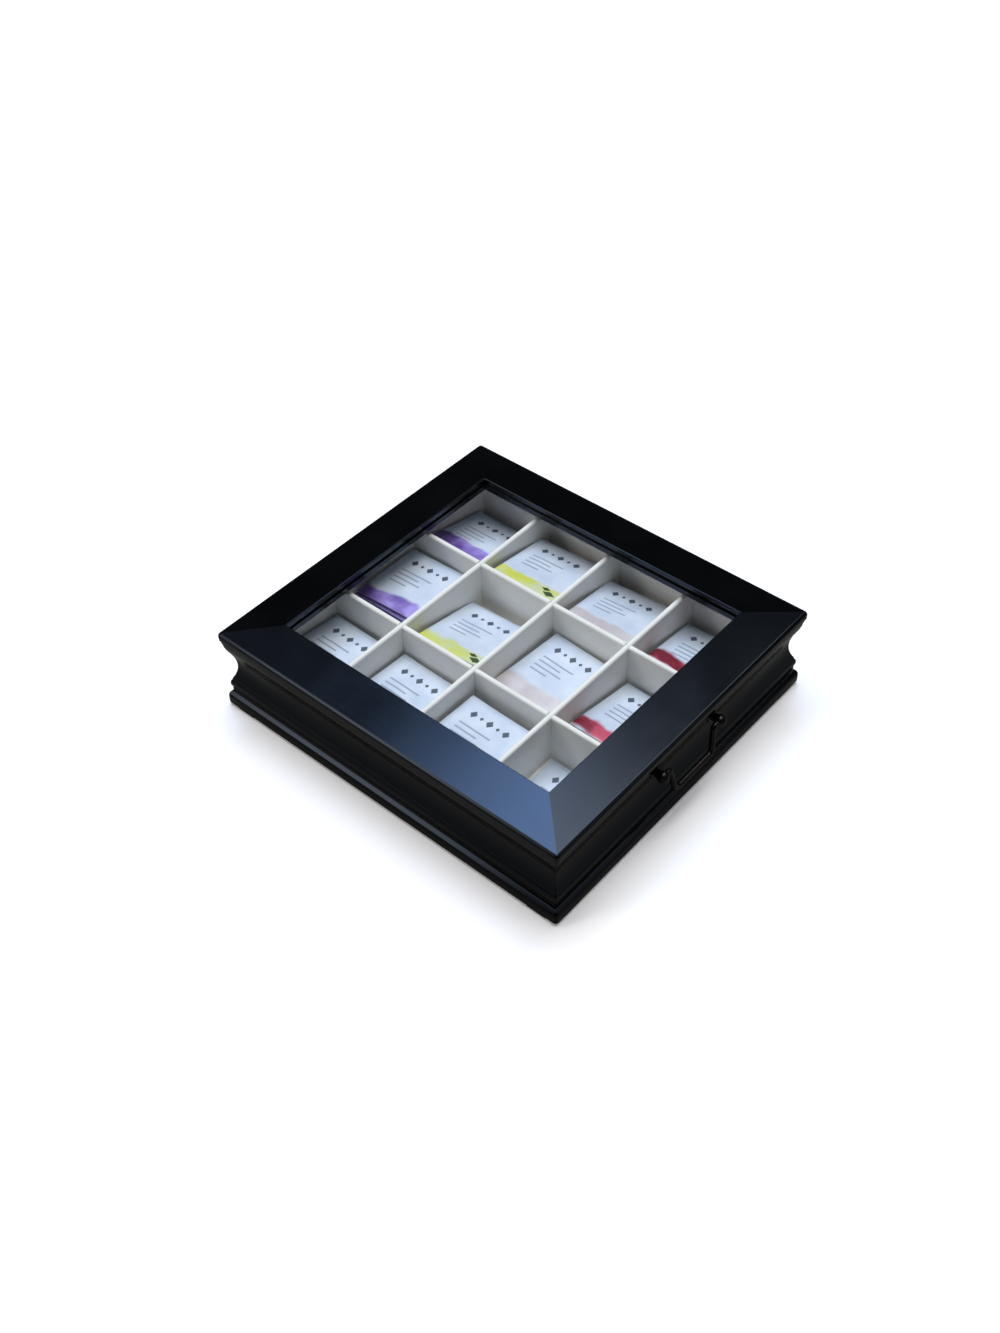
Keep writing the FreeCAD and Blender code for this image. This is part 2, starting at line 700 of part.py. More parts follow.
def all_pieces():
    pieces = {}
    for name, side_x, side_y in (
        ("foot_front_left", -1, -1),
        ("foot_front_right", 1, -1),
        ("foot_back_left", -1, 1),
        ("foot_back_right", 1, 1),
    ):
        pieces[name] = foot(side_x, side_y)
    for side in SIDES:
        pieces[f"base_rail_{side}"] = base_rail(side)
        pieces[f"top_rail_{side}"] = top_rail(side)
        pieces[f"glass_bead_{side}"] = glass_bead(side)
    pieces["base_panel"] = base_panel()
    for side in WALL_SIDES:
        pieces[f"case_wall_{side}"] = case_wall(side)
    pieces["base_tongues"] = Part.makeCompound(tongues(WALL_Z))
    pieces["frame_tongues"] = Part.makeCompound(tongues(FRAME_Z))
    pieces["frame_splines"] = Part.makeCompound(frame_splines())
    pieces["wall_splines"] = Part.makeCompound([wall_spline(-1), wall_spline(1)])
    pieces["glass_pane"] = glass_pane()
    pieces["glass_brads"] = Part.makeCompound(brads())
    pieces["drawer_stop"] = drawer_stop()

    pieces["drawer_front"] = drawer_front()
    pieces["tray_front"] = tray_front()
    pieces["tray_back"] = tray_back()
    pieces["tray_left"] = tray_side(-1)
    pieces["tray_right"] = tray_side(1)
    pieces["tray_bottom"] = tray_panel()
    pieces["divider_long_left"] = divider_long(-1)
    pieces["divider_long_right"] = divider_long(1)
    for number, y in enumerate(divider_lines(), 1):
        pieces[f"divider_cross_{number}"] = divider_cross(y)

    pieces["handle_posts"] = Part.makeCompound([handle_post(x) for x in POST_PLACES])
    pieces["handle_nuts"] = Part.makeCompound([handle_nut(x) for x in POST_PLACES])
    pieces["handle_bail"] = handle_bail()

    for column, row, *stance in STACKS:
        pieces[f"sachets_{column}_{row}"] = sachet_stack(column, row, *stance)
    return pieces


os.makedirs("parts", exist_ok=True)
for name, shape in all_pieces().items():
    shape.exportStep(f"parts/{name}.step")
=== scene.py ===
import math
import random

import bmesh
import bpy
from mathutils import Matrix, Vector, noise

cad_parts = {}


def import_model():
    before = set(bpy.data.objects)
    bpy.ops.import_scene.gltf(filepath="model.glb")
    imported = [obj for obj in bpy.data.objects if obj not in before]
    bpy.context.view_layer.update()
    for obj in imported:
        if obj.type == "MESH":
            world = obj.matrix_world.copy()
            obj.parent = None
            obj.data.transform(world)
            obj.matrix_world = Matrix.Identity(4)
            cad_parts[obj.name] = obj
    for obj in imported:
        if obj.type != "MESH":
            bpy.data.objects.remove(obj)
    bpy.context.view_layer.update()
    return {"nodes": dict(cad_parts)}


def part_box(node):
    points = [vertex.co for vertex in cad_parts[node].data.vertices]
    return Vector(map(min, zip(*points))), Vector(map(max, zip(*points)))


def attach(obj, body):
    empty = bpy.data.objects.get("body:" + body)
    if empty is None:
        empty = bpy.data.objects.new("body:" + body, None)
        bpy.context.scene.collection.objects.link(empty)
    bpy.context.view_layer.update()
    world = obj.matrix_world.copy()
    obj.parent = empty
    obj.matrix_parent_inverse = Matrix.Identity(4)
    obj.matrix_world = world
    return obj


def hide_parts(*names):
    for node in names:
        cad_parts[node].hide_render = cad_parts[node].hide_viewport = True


# A tabletop tea chest: black lacquered mouldings round a glazed top, and a drawer of twelve cells of
# sachets. Sizes are in millimetres here and are turned into metres as each mesh is made. Sections are drawn
# as the inset from the top frame's outer edge and the height, as in the part.

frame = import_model()
MM = 0.001
SAME = 1e-7  # metres: points and levels this close are one
NEAR = 1e-6  # metres: how well a level or an edge found in a mesh has to agree


def in_mm(node):
    """The two corners of a node's box."""
    low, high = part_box(node)
    return low / MM, high / MM


# Levels and outlines that the frame gives
FRAME_LOW, FRAME_HIGH = in_mm("top_rail_front")
BASE_LOW, BASE_HIGH = in_mm("base_rail_front")
PANE_LOW, PANE_HIGH = in_mm("glass_pane")
WIDTH = in_mm("top_rail_right")[1].x - in_mm("top_rail_left")[0].x
DEPTH = in_mm("top_rail_back")[1].y - FRAME_LOW.y
BASE_Z = BASE_LOW.z
WALL_Z = BASE_HIGH.z
FRAME_Z = FRAME_LOW.z
TOP_Z = FRAME_HIGH.z
INNER_FRONT_Y = in_mm("tray_front")[1].y
INNER_BACK_Y = in_mm("tray_back")[0].y
DIVIDER_TOP_Z = in_mm("tray_front")[1].z
FLOOR_Z = in_mm("tray_bottom")[1].z

# Each side of the case: its turn from the front, its length, and how far it stands from the middle
SIDES = {
    "front": (0, WIDTH, DEPTH / 2),
    "right": (90, DEPTH, WIDTH / 2),
    "back": (180, WIDTH, DEPTH / 2),
    "left": (270, DEPTH, WIDTH / 2),
}


# Mesh helpers

CORNER_STEPS = 6  # round a small corner of a section
ARC_STEPS = 14  # along a drawn arc of a section
EASE_STEPS = 5  # round the half of a corner that each rail has, in plan
SPANS = 24  # along a rail, between its corners
TURNED_STEPS = 48  # round a turned piece
FACE_SHIFT = 0.37  # moves the pattern from one face of a box to the next


def arc_points(start, via, end, steps):
    """Points on the circle through three points, without the start."""
    ax, ay = start
    bx, by = via
    cx, cy = end
    divisor = 2 * (ax * (by - cy) + bx * (cy - ay) + cx * (ay - by))
    a_square, b_square, c_square = ax * ax + ay * ay, bx * bx + by * by, cx * cx + cy * cy
    ox = (a_square * (by - cy) + b_square * (cy - ay) + c_square * (ay - by)) / divisor
    oy = (a_square * (cx - bx) + b_square * (ax - cx) + c_square * (bx - ax)) / divisor
    radius = math.hypot(ax - ox, ay - oy)
    first = math.atan2(ay - oy, ax - ox)
    middle = (math.atan2(by - oy, bx - ox) - first) % math.tau
    swing = (math.atan2(cy - oy, cx - ox) - first) % math.tau
    if middle > swing:
        swing -= math.tau
    angles = [first + swing * step / steps for step in range(1, steps + 1)]
    return [(ox + radius * math.cos(angle), oy + radius * math.sin(angle)) for angle in angles]


def outline(*corners):
    """A closed section from corners (inset, height), which may have a third value.

    A number is the radius that rounds the corner. A point (inset, height) is what the arc that ends here
    passes through.
    """
    points = []
    entries, exits = [], []
    for index, corner in enumerate(corners):
        here = Vector(corner[:2])
        radius = corner[2] if len(corner) > 2 and not isinstance(corner[2], tuple) else 0
        if not radius:
            entries.append(here)
            exits.append(here)
            continue
        back = (Vector(corners[index - 1][:2]) - here).normalized()
        ahead = (Vector(corners[(index + 1) % len(corners)][:2]) - here).normalized()
        run = radius / math.tan(back.angle(ahead) / 2)
        entries.append(here + back * run)
        exits.append(here + ahead * run)
    for index, corner in enumerate(corners):
        here = Vector(corner[:2])
        if len(corner) > 2 and isinstance(corner[2], tuple):
            points += arc_points(exits[index - 1], corner[2], here, ARC_STEPS)
            continue
        points.append(tuple(entries[index]))
        if entries[index] != exits[index]:
            back = (entries[index] - here).normalized()
            ahead = (exits[index] - here).normalized()
            half = back.angle(ahead) / 2
            radius = (entries[index] - here).length * math.tan(half)
            via = here + (back + ahead).normalized() * (radius / math.sin(half) - radius)
            points += arc_points(entries[index], tuple(via), tuple(exits[index]), CORNER_STEPS)
    return points


def new_object(name, mesh, material, smooth_angle=32):
    """An object whose faces shade as one up to an angle in degrees, with the flat ones kept flat."""
    mesh.shade_smooth()
    mesh.set_sharp_from_angle(angle=math.radians(smooth_angle))
    mesh.materials.append(material)
    made = bpy.data.objects.new(name, mesh)
    bpy.context.scene.collection.objects.link(made)
    even = made.modifiers.new("flat faces stay flat", "WEIGHTED_NORMAL")
    even.keep_sharp = True
    even.weight = 100
    return made


def mesh_from(name, bm):
    bmesh.ops.recalc_face_normals(bm, faces=bm.faces)
    mesh = bpy.data.meshes.new(name)
    bm.to_mesh(mesh)
    bm.free()
    return mesh


def finish_piece(made, body, slot, *nodes):
    """Gives a piece its body and hides the CAD nodes whose place it takes. The slot is not used."""
    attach(made, body)
    if nodes:
        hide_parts(*nodes)
    return made


def sweep(name, side, points, material, plan_radius=0.0, plan_set=0.0, end_gap=0.0):
    """Runs a closed section along one side, with mitred ends and its outer corners eased in plan.

    plan_set is how far the eased outline stands in from the top frame's edge.
    UVs run along the piece and round its section, in metres.
    """
    turn, length, reach = SIDES[side]
    half = length / 2 - end_gap
    steps = range(EASE_STEPS, -1, -1) if plan_radius else [0]
    angles = [math.radians(45 * step / EASE_STEPS) for step in steps]

    def station(inset, angle, sign):
        """Place along the side and inset of a section point on the eased corner."""
        depth = inset - plan_set
        if depth >= plan_radius:
            return sign * (half - inset), inset
        radius = plan_radius - depth
        centre = half - plan_set - plan_radius
        return sign * (centre + radius * math.sin(angle)), plan_set + plan_radius - radius * math.cos(angle)

    rows = [[station(inset, angle, -1) for inset, _ in points] for angle in angles]
    first = rows[-1]
    for step in range(1, SPANS):
        share = step / SPANS
        rows.append([(x - 2 * x * share, inset) for x, inset in first])
    rows += [[station(inset, angle, 1) for inset, _ in points] for angle in reversed(angles)]

    bm = bmesh.new()
    uv = bm.loops.layers.uv.new("UVMap")
    around = [0.0]
    for before, after in zip(points, points[1:] + points[:1]):
        around.append(around[-1] + math.dist(before, after))
    grid = []
    for row in rows:
        places = [(x * MM, (inset - reach) * MM, z * MM) for (x, inset), (_, z) in zip(row, points)]
        grid.append([bm.verts.new(place) for place in places])
    count = len(points)
    for low, high in zip(grid, grid[1:]):
        for index in range(count):
            after = (index + 1) % count
            face = bm.faces.new([low[index], high[index], high[after], low[after]])
            spots = (around[index], around[index], around[index + 1], around[index + 1])
            for loop, spot in zip(face.loops, spots):
                loop[uv].uv = (loop.vert.co.x, spot * MM)
    for ring in (grid[0], grid[-1]):
        face = bm.faces.new(ring)
        for loop in face.loops:
            loop[uv].uv = (loop.vert.co.y, loop.vert.co.z)
    bmesh.ops.remove_doubles(bm, verts=bm.verts, dist=SAME)
    bmesh.ops.dissolve_degenerate(bm, edges=bm.edges, dist=SAME)
    bm.transform(Matrix.Rotation(math.radians(turn), 4, "Z"))
    return new_object(name, mesh_from(name, bm), material)


def box_mesh(low, high):
    """A plain box between two corners."""
    bm = bmesh.new()
    bmesh.ops.create_cube(bm, size=1.0)
    size, middle = high - low, (low + high) / 2
    for vert in bm.verts:
        vert.co = (Vector([vert.co[axis] * size[axis] for axis in range(3)]) + middle) * MM
    return bm


def ease(bm, edges, width, segments):
    """Rounds edges over a width."""
    bmesh.ops.bevel(bm, geom=edges, offset=width * MM, segments=segments, affect="EDGES", profile=0.5)


def box_uv(bm, grain="x"):
    """UVs in metres on the flattest axes of each face, with the grain along u."""
    uv = bm.loops.layers.uv.verify()
    along = "xyz".index(grain)
    for face in bm.faces:
        face.normal_update()
        normal = face.normal
        flat = max(range(3), key=lambda axis: abs(normal[axis]))
        axes = [axis for axis in range(3) if axis != flat]
        if along in axes:
            axes.remove(along)
            axes.insert(0, along)
        for loop in face.loops:
            place = loop.vert.co
            loop[uv].uv = (place[axes[0]], place[axes[1]] + FACE_SHIFT * place[flat])


def lathe(name, profile, origin, axis_matrix, material):
    """A turned piece: profile points are (radius, along the axis)."""
    bm = bmesh.new()
    turns = [math.tau * step / TURNED_STEPS for step in range(TURNED_STEPS)]
    rings = []
    for radius, along in profile:
        if radius < NEAR:
            rings.append([bm.verts.new((0, 0, along * MM))])
            continue
        across = [(radius * math.cos(turn) * MM, radius * math.sin(turn) * MM) for turn in turns]
        rings.append([bm.verts.new((x, y, along * MM)) for x, y in across])
    for low, high in zip(rings, rings[1:]):
        for step in range(TURNED_STEPS):
            after = (step + 1) % TURNED_STEPS
            quad = ((low, step), (low, after), (high, after), (high, step))
            corners = list(dict.fromkeys(ring[spot % len(ring)] for ring, spot in quad))
            if len(corners) > 2:
                bm.faces.new(corners)
    for ring in (rings[0], rings[-1]):
        if len(ring) > 2:
            bm.faces.new(ring)
    bm.transform(Matrix.Translation(Vector(origin) * MM) @ axis_matrix)
    box_uv(bm)
    return new_object(name, mesh_from(name, bm), material)


# Materials

# Sockets of a Mix node that mixes colours
MIX_FACTOR, MIX_FIRST, MIX_SECOND = 0, 6, 7
MIX_RESULT = 2


class Nodes:
    """Short calls for building the nodes of a material or a world."""

    def __init__(self, name, blocks=bpy.data.materials):
        self.material = blocks.new(name)
        self.material.use_nodes = True
        self.tree = self.material.node_tree
        self.shader = self.tree.nodes.get("Principled BSDF")
        self.output = self.tree.nodes.get("Material Output") or self.tree.nodes.get("World Output")

    def plug(self, socket, value):
        if isinstance(value, bpy.types.NodeSocket):
            self.tree.links.new(value, socket)
        else:
            socket.default_value = value

    def node(self, kind, **sockets):
        made = self.tree.nodes.new(kind)
        for name, value in sockets.items():
            self.plug(made.inputs[name.replace("_", " ")], value)
        return made

    def math(self, operation, a, b=0.0):
        made = self.node("ShaderNodeMath")
        made.operation = operation
        self.plug(made.inputs[0], a)
        self.plug(made.inputs[1], b)
        return made.outputs[0]

    def uv(self, scale_u, scale_v):
        """UVs in metres, scaled."""
        coords = self.node("ShaderNodeUVMap")
        scale = (scale_u, scale_v, 1.0)
        return self.node("ShaderNodeMapping", Vector=coords.outputs[0], Scale=scale).outputs[0]

    def object_place(self, scale=(1.0, 1.0, 1.0)):
        """The place on the piece in metres, scaled."""
        coords = self.node("ShaderNodeTexCoord")
        return self.node("ShaderNodeMapping", Vector=coords.outputs["Object"], Scale=scale).outputs[0]

    def noise(self, vector, scale, detail, roughness=0.5):
        made = self.node("ShaderNodeTexNoise", Vector=vector, Scale=scale, Detail=detail, Roughness=roughness)
        return made.outputs["Fac"]

    def span(self, value, from_low, from_high, to_low, to_high, smooth=False):
        """Maps one range to another, clamped."""
        made = self.node("ShaderNodeMapRange")
        made.interpolation_type = "SMOOTHSTEP" if smooth else "LINEAR"
        for socket, item in zip(made.inputs, (value, from_low, from_high, to_low, to_high)):
            self.plug(socket, item)
        return made.outputs[0]

    def rise(self, value, low, high, smooth=False):
        """0 up to the low value, 1 from the high one on."""
        return self.span(value, low, high, 0, 1, smooth)

    def fall(self, value, low, high, smooth=False):
        """1 up to the low value, 0 from the high one on."""
        return self.span(value, low, high, 1, 0, smooth)

    def mix(self, factor, first, second):
        made = self.node("ShaderNodeMix")
        made.data_type = "RGBA"
        self.plug(made.inputs[MIX_FACTOR], factor)
        self.plug(made.inputs[MIX_FIRST], first)
        self.plug(made.inputs[MIX_SECOND], second)
        return made.outputs[MIX_RESULT]

    def bump(self, height, strength, distance):
        return self.node("ShaderNodeBump", Height=height, Strength=strength, Distance=distance).outputs[0]

    def in_view(self):
        """1 for rays from the camera, and for those that go on through a clear piece.

        It is 0 for mirrored rays, so the lacquer, metal and glass mirror the dim room and not the white.
        """
        path = self.node("ShaderNodeLightPath")
        return self.math("MAXIMUM", path.outputs["Is Camera Ray"], path.outputs["Is Transmission Ray"])

    def set(self, **sockets):
        """Fills sockets of the material's own shader."""
        for name, value in sockets.items():
            self.plug(self.shader.inputs[name.replace("_", " ")], value)
        return self.material

    def show_mix(self, factor, first, second):
        """Shows a mix of two shaders in place of the material's own one."""
        if self.shader:
            self.tree.nodes.remove(self.shader)
        mixed = self.node("ShaderNodeMixShader")
        for socket, value in zip(mixed.inputs, (factor, first.outputs[0], second.outputs[0])):
            self.plug(socket, value)
        self.plug(self.output.inputs["Surface"], mixed.outputs[0])
        return self.material


def rgb(red, green, blue):
    """A colour given as it looks on the screen, 0 to 255, as a linear value by the sRGB curve."""

    def linear(value):
        value /= 255
        return value / 12.92 if value <= 0.04045 else ((value + 0.055) / 1.055) ** 2.4

    return (linear(red), linear(green), linear(blue), 1.0)


def black_lacquer():
    """Satin black over a filled grain: faint streaks and orange peel, and a cool sheen that is painted: its
    reflections are tinted blue to stand in for the bluish light that they mirror.
    """
    n = Nodes("black_lacquer")
    place = n.object_place()
    peel = n.noise(place, scale=700, detail=2)
    brushed = n.noise(n.uv(10, 420), scale=1.0, detail=3)
    cloud = n.noise(place, scale=22, detail=4)
    roughness = n.span(n.math("ADD", cloud, n.math("MULTIPLY", brushed, 0.3)), 0.45, 0.85, 0.12, 0.17)
    colour = n.mix(n.rise(cloud, 0.35, 0.75), rgb(4, 4, 4), rgb(7, 7, 6))
    height = n.math("ADD", n.math("MULTIPLY", peel, 0.5), n.math("MULTIPLY", brushed, 0.35))
    # painted reflection colour: the blue specular tint colours every reflection of the lacquer as bluish
    # light would
    n.set(Specular_IOR_Level=0.33, Specular_Tint=(0.6, 0.76, 1.0, 1.0))
    return n.set(Base_Color=colour, Roughness=roughness, Normal=n.bump(height, 0.1, 0.00004))


def cream_paint():
    """Matt paint that lets a little of the grain show."""
    n = Nodes("cream_paint")
    place = n.object_place()
    grain = n.noise(n.uv(9, 260), scale=1.0, detail=5, roughness=0.6)
    cloud = n.noise(place, scale=30, detail=3)
    colour = n.mix(n.rise(cloud, 0.3, 0.7), rgb(238, 235, 229), rgb(244, 242, 237))
    colour = n.mix(n.span(grain, 0.56, 0.74, 0, 0.35), colour, rgb(216, 210, 198))
    peel = n.noise(place, scale=700, detail=2)
    height = n.math("ADD", grain, n.math("MULTIPLY", peel, 0.4))
    return n.set(Base_Color=colour, Roughness=0.62, Normal=n.bump(height, 0.35, 0.0001))


def dark_bronze():
    """Dark cast metal with an uneven polish."""
    n = Nodes("dark_bronze")
    cloud = n.noise(n.object_place(), scale=320, detail=4)
    colour = n.mix(n.rise(cloud, 0.35, 0.7), rgb(34, 33, 32), rgb(52, 49, 46))
    roughness = n.span(cloud, 0.3, 0.7, 0.18, 0.28)
    return n.set(Base_Color=colour, Metallic=0.85, Roughness=roughness, Normal=n.bump(cloud, 0.15, 0.00008))


def window_glass():
    """A clear pane that mirrors on its outer faces only, and less than real glass does."""
    n = Nodes("window_glass")
    clear = n.node("ShaderNodeBsdfTransparent", Color=(0.975, 0.985, 0.98, 1.0))
    gloss = n.node("ShaderNodeBsdfGlossy", Color=(1, 1, 1, 1), Roughness=0.02)
    fresnel = n.node("ShaderNodeFresnel", IOR=1.25)
    outside = n.math("SUBTRACT", 1.0, n.node("ShaderNodeNewGeometry").outputs["Backfacing"])
    return n.show_mix(n.math("MULTIPLY", fresnel.outputs[0], outside), clear, gloss)


def plain_wood(name, light, dark):
    n = Nodes(name)
    grain = n.noise(n.object_place((14, 160, 160)), scale=1.0, detail=5, roughness=0.6)
    colour = n.mix(n.rise(grain, 0.3, 0.7), light, dark)
    return n.set(Base_Color=colour, Roughness=0.6, Normal=n.bump(grain, 0.3, 0.0001))


def steel():
    n = Nodes("steel")
    cloud = n.noise(n.object_place(), scale=500, detail=3)
    return n.set(Base_Color=rgb(190, 190, 192), Metallic=1.0, Roughness=n.span(cloud, 0.3, 0.7, 0.3, 0.45))


def rubber():
    n = Nodes("rubber")
    grit = n.noise(n.object_place(), scale=1500, detail=3)
    return n.set(Base_Color=rgb(34, 34, 34), Roughness=0.85, Normal=n.bump(grit, 0.3, 0.0001))


LACQUER = black_lacquer()
CREAM = cream_paint()
BRONZE = dark_bronze()
GLASS = window_glass()
PLYWOOD = plain_wood("plywood", rgb(190, 158, 116), rgb(166, 132, 92))
BEECH = plain_wood("hardwood", rgb(208, 178, 138), rgb(188, 154, 112))
STEEL = steel()
RUBBER = rubber()


# Case

CORNER_RADIUS = 3.0  # eased corners of the top frame and base, in plan
EDGE_EASING = 0.2
FINE_EASING = 0.15

FRAME_EDGE = 8.5
FRAME_NOSE = 3.0
FRAME_RAIL_WIDTH = 37.8
REBATE_IN = 31.8
LIP_HEIGHT = 4.3
LIP_EASING = 0.6
PANE_EASING = 0.3
GLASS_BEAD_EASING = 1.2

WALL_INSIDE = 15.25
FILLET_SET = 1.8
FILLET_HEIGHT = 2.5
OVOLO_SET = 2.2
OVOLO_BELLY_SET = 2.75
OVOLO_BELLY_DROP = 0.4  # share of the ovolo's height
OVOLO_HEIGHT = 10.2
COVE_HEAD_SET = 5.0
COVE_WAIST_SET = 8.15
COVE_FOOT_SET = 4.0
COVE_LIP = 0.8
BEAD_SET = 2.45
BEAD_HEIGHT = 8.8
BEAD_FOOT_SET = 3.6
QUIRK_SET = 3.3
QUIRK_HEIGHT = 4.6

BASE_PROUD = 0.75
BASE_NOSE = 5.0
BASE_EASING = 0.8
BASE_INNER_EASING = 0.4
BASE_RAIL_WIDTH = 34.0
BASE_REBATE_IN = 26.0
BASE_PANEL_THICKNESS = 4.0

FOOT_OUTER_RADIUS = 12.0
FOOT_EASING = 0.4


def top_rails():
    glass_top = TOP_Z - LIP_HEIGHT
    points = outline(
        (0, FRAME_Z, FRAME_NOSE),
        (0, FRAME_Z + FRAME_EDGE, FRAME_NOSE),
        (FRAME_RAIL_WIDTH, TOP_Z, LIP_EASING),
        (FRAME_RAIL_WIDTH, glass_top, EDGE_EASING),
        (REBATE_IN, glass_top),
        (REBATE_IN, FRAME_Z),
    )
    for side in SIDES:
        made = sweep(f"frame_rail_{side}", side, points, LACQUER, CORNER_RADIUS)
        finish_piece(made, "case", "black_lacquer", f"top_rail_{side}")


def wall_points(low_z, high_z):
    """Fillet, ovolo, cove, bead and quirk, between two heights."""
    ovolo = FRAME_Z - FILLET_HEIGHT
    cove_head = ovolo - OVOLO_HEIGHT
    bead_foot = WALL_Z + QUIRK_HEIGHT
    bead_head = bead_foot + BEAD_HEIGHT
    cove_foot = bead_head + COVE_LIP
    ovolo_belly = (OVOLO_BELLY_SET, ovolo - OVOLO_BELLY_DROP * OVOLO_HEIGHT)
    cove_waist = (COVE_WAIST_SET, (cove_head + cove_foot) / 2)
    bead_middle = (BEAD_SET, (bead_foot + bead_head) / 2)
    return outline(
        (FILLET_SET, high_z, EDGE_EASING),
        (FILLET_SET, ovolo, FINE_EASING),
        (OVOLO_SET, ovolo),
        (COVE_HEAD_SET, cove_head, ovolo_belly),
        (COVE_FOOT_SET, cove_foot, cove_waist),
        (COVE_FOOT_SET, bead_head, FINE_EASING),
        (BEAD_FOOT_SET, bead_foot, bead_middle),
        (QUIRK_SET, bead_foot),
        (QUIRK_SET, low_z, EDGE_EASING),
        (WALL_INSIDE, low_z),
        (WALL_INSIDE, high_z),
    )


def walls():
    points = wall_points(WALL_Z, FRAME_Z)
    for side in ("left", "right", "back"):
        made = sweep(f"wall_moulding_{side}", side, points, LACQUER)
        finish_piece(made, "case", "black_lacquer", f"case_wall_{side}")


def base_rails():
    panel_z = WALL_Z - BASE_PANEL_THICKNESS
    points = outline(
        (-BASE_PROUD, BASE_Z, BASE_EASING),
        (-BASE_PROUD, WALL_Z, BASE_NOSE),
        (BASE_REBATE_IN, WALL_Z),
        (BASE_REBATE_IN, panel_z),
        (BASE_RAIL_WIDTH, panel_z),
        (BASE_RAIL_WIDTH, BASE_Z, BASE_INNER_EASING),
    )
    for side in SIDES:
        made = sweep(f"base_moulding_{side}", side, points, LACQUER, CORNER_RADIUS, -BASE_PROUD)
        finish_piece(made, "case", "black_lacquer", f"base_rail_{side}")


def feet():
    """Square pads with their outer corner rounded."""
    for name in ("front_left", "front_right", "back_left", "back_right"):
        node = f"foot_{name}"
        low, high = in_mm(node)
        bm = box_mesh(low, high)
        outer_x = max(abs(low.x), abs(high.x)) * MM - NEAR
        outer_y = max(abs(low.y), abs(high.y)) * MM - NEAR
        corner = [
            edge
            for edge in bm.edges
            if all(abs(vert.co.x) > outer_x and abs(vert.co.y) > outer_y for vert in edge.verts)
        ]
        ease(bm, corner, FOOT_OUTER_RADIUS, segments=10)
        rims = [edge for edge in bm.edges if abs(edge.verts[0].co.z - edge.verts[1].co.z) < SAME]
        ease(bm, rims, FOOT_EASING, segments=3)
        box_uv(bm)
        made = new_object(f"foot_pad_{name}", mesh_from(node, bm), RUBBER)
        finish_piece(made, "case", "rubber", node)


def glazing():
    """The pane and the four beads that hold it up in its rebate."""
    bm = box_mesh(PANE_LOW, PANE_HIGH)
    ease(bm, bm.edges[:], PANE_EASING, segments=2)
    box_uv(bm)
    pane = new_object("window_pane", mesh_from("window_pane", bm), GLASS)
    finish_piece(pane, "case", "glass", "glass_pane")
    points = outline(
        (REBATE_IN, FRAME_Z),
        (REBATE_IN, PANE_LOW.z),
        (FRAME_RAIL_WIDTH, PANE_LOW.z, EDGE_EASING),
        (FRAME_RAIL_WIDTH, FRAME_Z, GLASS_BEAD_EASING),
    )
    for side in SIDES:
        made = sweep(f"window_bead_{side}", side, points, LACQUER)
        finish_piece(made, "case", "black_lacquer", f"glass_bead_{side}")


# Drawer

FRONT_GAP = 0.5  # to the top frame and base
MITRE_GAP = 0.6  # to the side walls
BOARD = 4.5
BOARD_ROUND = 2.0
NOTCH_GAP = 0.1


def drawer_moulding():
    points = wall_points(WALL_Z + FRONT_GAP, FRAME_Z - FRONT_GAP)
    made = sweep("drawer_moulding", "front", points, LACQUER, end_gap=MITRE_GAP)
    finish_piece(made, "drawer", "black_lacquer", "drawer_front")


def plain_outline(start, end, low, top):
    return [(start, low), (end, low), (end, top), (start, top)]


def board(name, node, points, along, place, top):
    """A board standing on edge along x or y: a side outline (along, height) with its top edges rounded."""
    bm = bmesh.new()
    faces = []
    for across in (place - BOARD / 2, place + BOARD / 2):
        corners = [(run, across, z) if along == "x" else (across, run, z) for run, z in points]
        faces.append([bm.verts.new(Vector(corner) * MM) for corner in corners])
    near, far = faces
    bm.faces.new(near)
    bm.faces.new(list(reversed(far)))
    for index in range(len(points)):
        after = (index + 1) % len(points)
        bm.faces.new([near[index], near[after], far[after], far[index]])
    bmesh.ops.recalc_face_normals(bm, faces=bm.faces)
    axis = "xy".index(along)
    edges = []
    for edge in bm.edges:
        start, end = (vert.co for vert in edge.verts)
        on_top = abs(start.z - top * MM) < NEAR and abs(end.z - top * MM) < NEAR
        if on_top and abs(start[axis] - end[axis]) > NEAR:
            edges.append(edge)
    ease(bm, edges, BOARD_ROUND, segments=5)
    box_uv(bm, along)
    made = new_object(name, mesh_from(name, bm), CREAM)
    finish_piece(made, "drawer", "cream_paint", node)


def tray():
    """Four boards round a let-in bottom."""
    for name in ("front", "back"):
        low, high = in_mm(f"tray_{name}")
        points = plain_outline(low.x, high.x, low.z, high.z)
        board(f"tray_wall_{name}", f"tray_{name}", points, "x", (low.y + high.y) / 2, high.z)
    for name in ("left", "right"):
        low, high = in_mm(f"tray_{name}")
        points = plain_outline(INNER_FRONT_Y, INNER_BACK_Y, low.z, high.z)
        board(f"tray_wall_{name}", f"tray_{name}", points, "y", (low.x + high.x) / 2, high.z)
    bm = box_mesh(*in_mm("tray_bottom"))
    box_uv(bm, "y")
    made = new_object("tray_floor", mesh_from("tray_floor", bm), CREAM)
    finish_piece(made, "drawer", "cream_paint", "tray_bottom")


